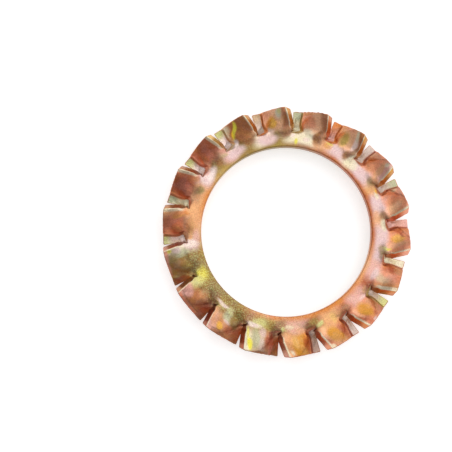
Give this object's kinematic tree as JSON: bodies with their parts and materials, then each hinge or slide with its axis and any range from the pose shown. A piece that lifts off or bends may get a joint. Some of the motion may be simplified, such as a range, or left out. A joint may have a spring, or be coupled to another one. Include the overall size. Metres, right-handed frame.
{
  "type": "toothed lock washer",
  "caption": "Toothed lock washer: a ring round a plain bore, with external teeth twisted out of its plane, so that their edges bite under a nut or bolt head and keep it from turning loose.",
  "frame": {"origin": "on the bore's axis, in the plane on which the low edges of the teeth rest", "axes": "+Z along the bore's axis, towards the nut side; +X along the middle of one tooth"},
  "size_m": [0.0252, 0.0252, 0.0035],
  "materials": {
    "yellow_zinc_steel": "spring steel, zinc plated and yellow chromated, with pink, orange and yellow-green iridescence and a fine satin grain"
  },
  "bodies": {
    "root": {"lock_washer": "yellow_zinc_steel"}
  },
  "joints": []
}
